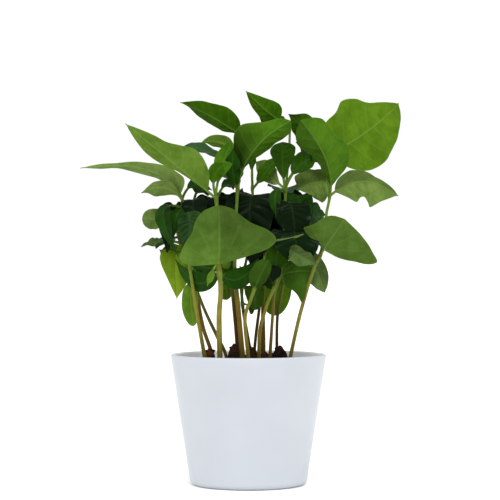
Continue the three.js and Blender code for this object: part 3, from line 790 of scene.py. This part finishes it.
        seedLeaf(160, (36.8, -22, 165.6), (49, -20, 163.3), (-2, 3, 9), (-2, -2, -22), "dull", petiole=1,
                 wave=1.2, leftShape=(0.6, 0.85, 1, 1, 1, 1, 0.9, 0.6, 0),
                 rightShape=(0.45, 0.54, 0.65, 0.8, 1.02, 1.1, 0.86, 0.42, 0.05), shade=(1.7, 1.5)),
        foliage(189, (36, -38, 206), (36.5, -34, 170), (18, 2, 0), (-17, 0, 0), "black", petiole=4,
                quilt=0.7, leftShape=(0, 0.7, 1, 1, 1, 1, 0.95, 0.8, 0.4),
                rightShape=(0, 0.7, 1, 1, 1, 1, 0.95, 0.7, 0.3), ends=(1, 2)),
        foliage(184, (26.4, -54, 181), (52, -42, 168.5), (1, 4, 6), (-1, -3, -8), "grey", wave=2, quilt=1.5,
                leftShape=(0, 0.5, 0.8, 1, 1, 1, 0.9, 0.6, 0), shade=(0.7, 1.1)),
    ]),
    dict(collar=154, girth=0.6, bark=(74, 66, 22), stem=[
        (22, 10, 74), (22, 8, 100), (22.5, 6, 129), (26, 5, 150), (30, 6, 172), (32, 8, 195), (33, 9, 222),
    ], leaves=[
        foliage(176, (47, 0, 192), (58.3, -8, 147.5), (6.5, 2, 4), (-6.5, -2, -4), "grey", quilt=0.8,
                leftShape=(0, 0.3, 0.4, 0.55, 0.75, 0.95, 0.95, 0.75, 0.2),
                rightShape=(0, 0.5, 0.8, 1, 1.15, 1.35, 1.4, 1.2, 0.4), shade=(1.05, 1.35)),
        foliage(221, (43.8, 12, 235.8), (64.1, 14, 232), (-2, 8, 11), (1, -8, -16), "pale", wave=1.2,
                leftShape=(0, 0.9, 1, 1, 1, 0.95, 0.9, 0.7, 0.3),
                rightShape=(0.15, 0.5, 0.7, 0.85, 1, 1, 1, 0.9, 0.5), shade=(0.8, 1.5)),
        darkLeaf(208, (44, 10, 247), (46, -3, 184), (7.5, 0, -4), (-11, 0, 3), shape=(1.4, 0.6)),
        foliage(180, (38, -2, 192), (43, -7, 164), (8, 0, 2), (-8, 0, 0), "deep"),
        foliage(205, (53.5, 0, 234), (51, -8, 186), (7, 0, -2), (-8, 0, 1), "satin", quilt=1.1,
                shade=(2, 1.2)),
        foliage(214, (40, 2, 240), (42, -14, 190), (11, 2, -3), (-12, 0, 3), "deep", petiole=4),
        foliage(200, (42, 0, 212), (45, -4, 220), (-2.5, 0, 1), (2.5, 0, -1), "deep"),
        spread(216, 100, 50, 10, 13),
        spread(200, 52, 42, 2, 12, "mid"),
    ]),
    dict(collar=174, girth=0.7, bark=(134, 128, 50), stem=[
        (27, -8, 74), (32.4, -12, 100), (39.8, -18, 133), (49.2, -24, 165), (55, -25, 178),
        (58.5, -20, 196), (59.5, -16, 208), (62, -13, 222), (60, -6, 238), (56, 0, 251),
    ], leaves=[
        seedLeaf(177, (63, -38, 190), (72, -46, 203), (30, -6, -21), (-19, -4, 10.6), wave=1,
                 leftShape=(0.25, 0.48, 0.66, 0.86, 1, 1.03, 0.84, 0.64, 0.2),
                 rightShape=(0, 0.7, 1, 0.9, 0.77, 0.69, 0.63, 0.5, 0.2)),
        foliage(221, (66, -41, 246.5), (39, -42, 277), (20, 4, 2), (-13.5, 4, -2), "leafy", wave=0.8,
                leftShape=(0, 0.3, 0.7, 0.95, 1, 0.83, 0.78, 0.76, 0.2),
                rightShape=(0, 0.19, 0.39, 0.42, 0.53, 0.84, 1, 0.94, 0.3), shade=(1.02, 0.62)),
        foliage(221, (87, -12, 244), (114, -18, 221), (0, 7, 8.3), (0, -6, -19), "pale", petiole=4, wave=1,
                waves=3, leftShape=(0, 0.9, 1.15, 1.05, 0.95, 0.55, 0.45, 0.35, 0),
                rightShape=(0, 0.62, 0.84, 0.7, 0.66, 0.88, 1.16, 0.68, 0), shade=(0.72, 1.15)),
        foliage(250, (103, 25, 276.5), (118.5, 40, 296), (16, 6, -22), (-17.5, -6, 24), "sunny", petiole=5,
                wave=1.5, waves=3.5, leftShape=(0, 0.65, 0.95, 1.03, 0.95, 0.8, 0.57, 0.38, 0),
                rightShape=(0.55, 0.78, 0.87, 1.01, 0.87, 0.58, 0.4, 0.22, 0)),
        foliage(250, (50, 12, 272), (31, 14, 285.5), (-7, 6, -6), (8.5, -4, 6), "leafy", shade=(0.8, 0.8)),
        foliage(240, (48, -16, 255), (36, -20, 262), (0, -4, -6), (0, 5, 7), "deep"),
        spread(183, 62, 40, 2, 11, "fresh"),
        spread(240, 88, 50, 8, 13),
    ]),
]


def smoothCurve(points, count):
    # a curve through all the points whose heading at each follows its two neighbours
    points = np.array(points, float)
    ends = np.vstack([2 * points[:1] - points[1:2], points, 2 * points[-1:] - points[-2:-1]])
    along = np.linspace(0, len(points) - 1, count)
    i = np.minimum(along.astype(int), len(points) - 2)
    t = (along - i)[:, None]
    a, b, c, d = ends[i], ends[i + 1], ends[i + 2], ends[i + 3]
    return 0.5 * (2 * b + (c - a) * t + (2 * a - 5 * b + 4 * c - d) * t**2 + (3 * b - a - 3 * c + d) * t**3)


def bowed(start, via, end, t):  # the quadratic curve that leaves start towards via and stops at end
    return (1 - t) ** 2 * start + 2 * t * (1 - t) * via + t**2 * end


def atHeight(line, height):  # the points of a rising line at these heights
    return np.stack([np.interp(height, line[:, 2], line[:, axis]) for axis in range(3)], -1)


def unit(vectors):
    return vectors / np.maximum(np.linalg.norm(vectors, axis=-1, keepdims=True), 1e-9)


def placed(leaf, base):
    # a leaf given by its bearing gets the points that the others have, with a spine that arches over
    if "bearing" not in leaf:
        return leaf
    turn = np.radians(leaf["bearing"])
    out = np.array([np.cos(turn), np.sin(turn), 0])
    side = np.array([-out[1], out[0], 0]) * leaf["half"]
    rise = np.array([0, 0, 1])
    return {
        **leaf,
        "via": base + 0.45 * leaf["reach"] * out + (0.5 * leaf["rise"] + 0.25 * leaf["reach"]) * rise,
        "tip": base + leaf["reach"] * out + leaf["rise"] * rise,
        "left": side + 0.25 * leaf["half"] * rise,
        "right": -side + 0.25 * leaf["half"] * rise,
    }


def halfWidth(shape, dripTip, along):
    # share of the full half width. Two numbers give a bump that is widest where the first puts it and
    # fuller the smaller the second is, and dripTip is how much it narrows before the tip; more are the
    # shares at evenly spaced places, base to tip.
    if len(shape) == 2:
        p = along ** shape[0]
        return np.clip(4 * p * (1 - p), 0, 1) ** shape[1] * (1 - dripTip * ease((along - 0.7) / 0.3))
    knots = np.stack([np.array(shape, float), np.zeros(len(shape)), np.zeros(len(shape))], 1)
    curve = smoothCurve(knots, 200)[:, 0]
    ends = np.sqrt(np.clip(along / 0.04, 0, 1) * np.clip((1 - along) / 0.05, 0, 1))  # rounded off
    return np.interp(along, np.linspace(0, 1, 200), np.maximum(curve, 0)) * ends


def shellFaces(rows, columns):  # two grids back to back, the second `rows * columns` further on, sewn up
    under = rows * columns
    first = np.arange(rows - 1) * columns
    last = first + columns - 1
    start = np.arange(columns - 1)
    end = (rows - 1) * columns + start
    return np.concatenate([
        gridFaces(rows, columns),
        gridFaces(rows, columns, under)[:, ::-1],
        np.stack([first, first + columns, under + first + columns, under + first], 1),
        np.stack([last + columns, last, under + last, under + last + columns], 1),
        np.stack([under + start, under + start + 1, start + 1, start], 1),
        np.stack([end, end + 1, under + end + 1, under + end], 1),
    ])


def leafPaint(leaf, faceColour, stalkGreen, along, side):
    # the face's colour with painted light and shade by side and end and a painted shadow at the corner,
    # turning green towards the stalk
    colour = np.array(tint(*faceColour))
    colour[:3] = np.maximum(colour[:3] - blade["sheen"], blade["least"]) * blade["dimming"]
    onLeft, onRight = leaf["shade"]
    atBase, atTip = leaf["ends"]
    paintedShading = onLeft + (onRight - onLeft) * ease(side * 3 + 0.5)
    paintedShading = paintedShading * (atBase + (atTip - atBase) * ease(1.25 * along))
    paintedShading = paintedShading * (1 + (leaf["corner"] - 1) * ease(2 * side) * (1 - ease(1.2 * along)))
    blend = (stalkGreen * np.ones_like(side))[..., None]
    painted = colour * np.where([True, True, True, False], paintedShading[..., None], 1)
    return painted * (1 - blend) + np.array(tint(*stalk["green"])) * blend


def leafSheet(leaf, base):
    # The spine is a quadratic curve from the stem over `via` to the tip. Each row lies square to it
    # and reaches to both margins; ripples, the cup and the swelling between the veins lift it along
    # the face's normal, and the under face drops by the thickness of blade, rib or stalk.
    via, tip, left, right = [np.array(leaf[key], float) for key in ("via", "tip", "left", "right")]
    spine = bowed(base, via, tip, np.linspace(0, 1, 40)[:, None])
    length = np.linalg.norm(np.diff(spine, axis=0), axis=1).sum()
    widest = max(np.linalg.norm(left), np.linalg.norm(right))
    bladeRows = int(np.clip(length / blade["rowSpacing"], *blade["rows"]))
    stalkRows = blade["stalkRows"]
    columns = 2 * int(np.clip(widest / blade["columnSpacing"], *blade["columns"])) + 1

    # rows: evenly along the stalk, then a little closer together at both ends of the blade
    bare = leaf["petiole"] / length
    t = np.linspace(0, 1, bladeRows)
    evened = 0.5 * t + 0.25 * (1 - np.cos(np.pi * t))
    v = np.concatenate([bare * np.arange(stalkRows) / stalkRows, bare + (1 - bare) * evened])[:, None]
    along = np.clip((v - bare) / (1 - bare), 0, 1)
    middle = bowed(base, via, tip, v)
    heading = unit(2 * (1 - v) * (via - base) + 2 * v * (tip - via))
    toLeft = left - heading * (heading @ left)[:, None]
    toRight = right - heading * (heading @ right)[:, None]
    across = unit(toRight - toLeft)
    up = np.cross(across, heading)

    # columns: from the left margin at -1 to the right one at 1, at least as far out as the stalk is thick
    side = np.linspace(-1, 1, columns)[None, :]
    onLeft = side < 0
    shapes = [leaf.get(key, leaf["shape"]) for key in ("leftShape", "rightShape")]
    share = np.where(onLeft, *[halfWidth(shape, leaf["dripTip"], along) for shape in shapes])
    full = np.where(onLeft, *[np.linalg.norm(half, axis=1)[:, None] for half in (toLeft, toRight)])
    least = blade["stalkRadius"] * (1 - blade["stalkTaper"] * along)
    reach = np.maximum(share * full, least) * np.abs(side)
    outward = np.where(onLeft[..., None], unit(toLeft)[:, None], unit(toRight)[:, None])
    stalky = (share * full < least)[..., None]
    outward = np.where(stalky, across[:, None] * np.sign(side)[..., None], outward)

    # veins, each at a whole number: along a foliage leaf's blade, fanning out of a seed leaf's base
    if leaf["veins"]:
        lean = blade["veinLean"] * np.abs(side) ** 1.4
        vein = leaf["veins"] * (along - lean) + np.where(onLeft, 0.0, blade["veinStagger"]) + 0.5
    else:
        vein = np.arctan2(reach, along * length * 0.9 + blade["fanStart"]) / blade["fanStep"]
    swell = (np.abs(np.sin(np.pi * vein)) - 0.6) * (1 - side**4) * np.minimum(1, reach / 3)
    swing = 2 * np.pi * leaf["waves"] * along + leaf["phase"] + np.where(onLeft, blade["outOfStep"], 0)
    slow = np.sin(swing) * np.abs(side) ** 1.5
    quick = np.sin(2.7 * swing + leaf["height"]) * np.abs(side) ** 4
    ripple = leaf["wave"] * (slow + 0.15 * quick) * share
    seed = int(10 * leaf["height"])
    dimple = patchwork(v * length + 0 * side, side * widest * share, blade["dimpleSize"], seed)
    lift = ripple + (leaf["quilt"] * swell + leaf["dimple"] * dimple + leaf["cup"] * full * side**2) * share
    sweep = leaf["lobe"] * (side * (1 - along)) ** 2 * share
    sheet = middle[:, None] + outward * reach[..., None] + up[:, None] * lift[..., None]
    sheet = sheet - heading[:, None] * sweep[..., None]

    # thickness: a round stalk that flattens into a blade with a groove above and a rib below
    stalkShare = 1 - ease(along / blade["stalkBlend"])
    roundness = np.sqrt(np.clip(1 - side**2, 0, 1))
    rib = (1 - blade["ribTaper"] * along) * np.exp(-((reach / blade["ribWidth"]) ** 2))
    edge = blade["thickness"] * (blade["marginShare"] + (1 - blade["marginShare"]) * roundness)
    tube = blade["stalkRadius"] * roundness * stalkShare
    above = (edge / 2 - blade["groove"] * rib) * (1 - stalkShare) + tube
    below = (edge / 2 + blade["ribHeight"] * rib) * (1 - stalkShare) + tube
    upper = sheet + up[:, None] * above[..., None]
    lower = sheet - up[:, None] * below[..., None]

    flat = np.ones_like(side) * np.ones_like(along)
    place = np.stack([along * flat, side * flat, vein * flat], -1)
    upperColour, lowerColour, gloss, green = looks[leaf["look"]]
    shines = [(1, gloss), (0, blade["lowerGloss"])]
    detail = [np.stack([reach, flat * isUpper, flat * shine], -1) for isUpper, shine in shines]
    paint = [leafPaint(leaf, face, green * stalkShare, along, side) for face in (upperColour, lowerColour)]
    return {
        "points": np.concatenate([upper.reshape(-1, 3), lower.reshape(-1, 3)]),
        "faces": shellFaces(len(v), columns),
        "colour": np.concatenate([part.reshape(-1, 4) for part in paint]),
        "place": np.concatenate([place.reshape(-1, 3)] * 2),
        "detail": np.concatenate([part.reshape(-1, 3) for part in detail]),
    }


skin = {
    "specular": 0.07,
    "specularTint": (0.4, 0.8, 0.3, 1),
    "coat": 0.05,  # at full gloss
    "coatRoughness": 0.2,
    "roughness": (0.66, 0.36),  # without gloss and with it
    "cellRoughness": 0.12,
    "cloudScale": 70,
    "cloudSpan": (0.34, 0.66),
    "darker": (0.8, 0.82, 0.75, 1),
    "lighter": (1.2, 1.17, 1.25, 1),
    "cellScale": 650,
    "sideVeinSpan": (0.02, 0.12),  # in vein spacings
    "sideVeinStart": (0.4, 2),  # from the midrib
    "midVeinSpan": (0.25, 1.0),  # from the midrib
    "marginSpan": (0.94, 1),  # as a share of the half width
    "paler": (1.9, 1.7, 2.2, 1),
    "veinColour": (96, 124, 62),
    # how strongly they show on the lower face, and how much less on the upper one
    "sideVeins": (0.2, 0.08),
    "midVein": (0.6, 0.2),
    "margin": 0.25,
    "glossHides": 0.75,
    "tipHides": (0.5, 1),  # where along the blade they fade to half
    "sideRelief": 0.5,
    "cellRelief": 0.35,
    "bumpDepth": 0.5,
    "bumpStrength": 0.6,
}


def leafFinish():
    finish = Finish("leafSkin", Specular_IOR_Level=skin["specular"], Specular_Tint=skin["specularTint"],
                    Coat_Roughness=skin["coatRoughness"])
    # the leaves' own colours with leafPaint's painted light and shade already in them
    base = finish.attribute("leafColourAndShade", "Color")
    along, side, vein = finish.split(finish.attribute("leafPlace"))
    fromRib, upper, gloss = finish.split(finish.attribute("leafDetail"))
    cloud = finish.noise(skin["cloudScale"], 4, 0.65)
    cells = finish.noise(skin["cellScale"], 3, 0.6)
    darker = finish.mix(1.0, base, skin["darker"], "MULTIPLY")
    lighter = finish.mix(1.0, base, skin["lighter"], "MULTIPLY")
    colour = finish.mix(finish.span(cloud, skin["cloudSpan"], 0, 1), darker, lighter)

    # pale veins and margins, fainter towards the tip and where the leaf is glossy
    edge = side.size()
    sideVein = finish.span(vein.toWhole(), skin["sideVeinSpan"], 1, 0) * (1 - edge**3)
    sideVein = sideVein * finish.span(fromRib, skin["sideVeinStart"], 0, 1)
    midVein = finish.span(fromRib, skin["midVeinSpan"], 1, 0)
    margin = finish.span(edge, skin["marginSpan"], 0, 1)
    sideShow, sideLess = skin["sideVeins"]
    midShow, midLess = skin["midVein"]
    veins = sideVein * (sideShow - sideLess * upper) + midVein * (midShow - midLess * upper)
    veins = veins + margin * skin["margin"]
    veins = veins * finish.span(along, skin["tipHides"], 1, 0.5) * (1 - skin["glossHides"] * gloss)
    paler = finish.mix(1.0, base, skin["paler"], "MULTIPLY")
    colour = finish.mix(veins, colour, finish.mix(0.5, paler, tint(*skin["veinColour"])))

    dry, glossy = skin["roughness"]
    rough = dry - (dry - glossy) * gloss + skin["cellRoughness"] * cells
    relief = (sideVein * skin["sideRelief"] + midVein) * (1 - 2 * upper) + cells * skin["cellRelief"]
    bump = finish.bump(relief, skin["bumpDepth"], skin["bumpStrength"])
    return finish.join(Base_Color=colour, Roughness=rough, Coat_Weight=gloss * skin["coat"], Normal=bump)


def makeLeaves(number, seedling, line, top, finish):
    sheets = []
    for leaf in seedling["leaves"]:
        base = atHeight(line, min(leaf["height"], top - 1.5))  # the highest ones leave below the bud's tip
        sheets.append(leafSheet(placed(leaf, base), base))
    start = np.cumsum([0] + [len(sheet["points"]) for sheet in sheets])
    faces = np.concatenate([sheet["faces"] + first for sheet, first in zip(sheets, start)])
    points, colour, place, detail = [np.concatenate([sheet[key] for sheet in sheets])
                                     for key in ("points", "colour", "place", "detail")]
    attributes = {"leafColourAndShade": colour, "leafPlace": place, "leafDetail": detail}
    makePiece(f"leaves{number:02d}", points, faces, finish, [f"shoot_{number:02d}"], attributes)


# ---- stalks

stalk = {
    "footRadius": 2.2,
    "collarRadius": 1.8,
    "topRadius": 1.2,
    "shootExtra": 0.25,  # that the shoot is thicker just above the collar
    "collarLength": 4,
    "knee": 0.45,  # how far a joint with leaves swells
    "kneeLength": 2.2,
    "budLength": 3,
    "budSteps": 7,
    "flute": 0.05,  # of the three low ridges round it, as a share of the radius
    "unevenness": 0.03,  # how much its thickness varies on the way up
    "steps": 150,
    "sides": 20,
    "foot": 80,  # height of the hidden end in the soil
    "barkFoot": 100,  # height from which the darker foot of the bark fades
    "specular": 0.16,
    "specularTint": (0.8, 0.7, 0.35, 1),
    "roughness": (0.42, 0.6),
    "rust": (84, 58, 14),
    "footColour": (58, 46, 16),
    "green": (96, 126, 42),
    "dimming": 0.8,
    "ringRust": 0.4,
    "streakScale": 900,
    "streakSquash": 0.06,  # along the stem, so that they run up it
    "blotchScale": 160,
    "bumpDepth": 0.4,
    "bumpStrength": 0.5,
}


def barkTint(colour):
    return dimmed(tint(*colour), stalk["dimming"])


def stalkFinish():
    # heights run from 0 at the pot's rim to 1 at the collar, above which the shoot is green
    finish = Finish("stalkBark", Specular_IOR_Level=stalk["specular"], Specular_Tint=stalk["specularTint"])
    base = finish.attribute("barkColour", "Color")
    height = finish.attribute("barkHeight", "Fac")
    ring = finish.attribute("barkRing", "Fac")
    streaks = finish.noise(stalk["streakScale"], 3, 0.6, (1, 1, stalk["streakSquash"]))
    blotch = finish.noise(stalk["blotchScale"], 3)
    rust = barkTint(stalk["rust"])
    bark = finish.mix(finish.span(streaks + 0.5 * blotch, (0.62, 1), 0, 0.55), base, rust)
    footShare = finish.span(height + 0.3 * blotch, (0, 0.5), 0.7, 0)
    bark = finish.mix(footShare, bark, barkTint(stalk["footColour"]))
    colour = finish.mix(finish.span(height, (0.5, 1.2), 0, 1), bark, barkTint(stalk["green"]))
    colour = finish.mix(ring * stalk["ringRust"], colour, rust)
    rough = finish.span(streaks, (0.3, 0.7), *stalk["roughness"])
    bump = finish.bump(streaks, stalk["bumpDepth"], stalk["bumpStrength"])
    return finish.join(Base_Color=colour, Roughness=rough, Normal=bump)


def makeStalk(number, seedling, finish):
    # a round tube that thins from foot to tip, swells at each pair of leaves and ends in a bud
    line = smoothCurve(seedling["stem"], 600)
    top = line[-1, 2]
    bud = stalk["budLength"]
    budRise = bud * np.linspace(0, 1, stalk["budSteps"] + 1)[1:]
    height = np.concatenate([np.linspace(stalk["foot"], top - bud, stalk["steps"]), top - bud + budRise])
    middle = atHeight(line, height)
    heading = unit(np.gradient(middle, axis=0))
    sideways = unit(np.cross(heading, np.array([0.0, 1.0, 0.0])))
    forwards = np.cross(sideways, heading)

    collar = seedling["collar"]
    girth = seedling["girth"]
    radius = np.interp(height, [stalk["foot"], collar, collar + stalk["collarLength"], top],
                       [stalk["footRadius"], stalk["collarRadius"], stalk["topRadius"] + stalk["shootExtra"],
                        stalk["topRadius"]])
    joints = sorted({leaf["height"] for leaf in seedling["leaves"]} | {collar})
    knees = sum(np.exp(-(((height - joint) / stalk["kneeLength"]) ** 2)) for joint in joints)
    knees = np.minimum(knees, 1)
    radius = (radius + stalk["knee"] * knees) * (girth + 0.3 * (1 - girth) * (height > collar))
    radius = radius * np.sqrt(np.clip((top - height) / bud, 0.02, 1))

    rows = len(height)
    sides = stalk["sides"]
    turn = spokeAngles(sides)
    unevenness = stalk["unevenness"] * np.sin(height[:, None] / 7 + number)
    ring = radius[:, None] * (1 + stalk["flute"] * np.cos(3 * turn)[None] + unevenness)
    circle = np.cos(turn)[:, None] * sideways[:, None] + np.sin(turn)[:, None] * forwards[:, None]
    points = middle[:, None] + ring[..., None] * circle
    first = np.arange(rows - 1)[:, None] * sides
    near = (first + np.arange(sides)).ravel()
    after = (first + (np.arange(sides) + 1) % sides).ravel()
    faces = np.stack([near, near + sides, after + sides, after], 1)
    loop = np.arange(sides)
    ends = [loop.tolist(), ((rows - 1) * sides + loop)[::-1].tolist()]

    barkHeight = (height - stalk["barkFoot"]) / (collar - stalk["barkFoot"])
    barkRing = knees * (height > collar - 2)
    attributes = {
        "barkColour": np.tile(barkTint(seedling["bark"]), (rows * sides, 1)),
        "barkHeight": np.repeat(barkHeight, sides),
        "barkRing": np.repeat(barkRing, sides),
    }
    makePiece(f"stalk{number:02d}", points.reshape(-1, 3), faces.tolist() + ends, finish,
              [f"stem_{number:02d}"], attributes)
    return line, top


# ---- build

makeCamera()
makePot()
print("pot made")
soilMix = soilFinish()
makeSoilBed(soilMix)
makeCrumbs(soilMix)
print("soil made")
leafSkin = leafFinish()
stalkBark = stalkFinish()
for number, seedling in enumerate(seedlings, 1):
    line, top = makeStalk(number, seedling, stalkBark)
    makeLeaves(number, seedling, line, top, leafSkin)
print("plants made")
makeFloor()
makeSky()
for number, sun in enumerate(light["suns"], 1):
    makeSun(number, *sun)
print("stage set")
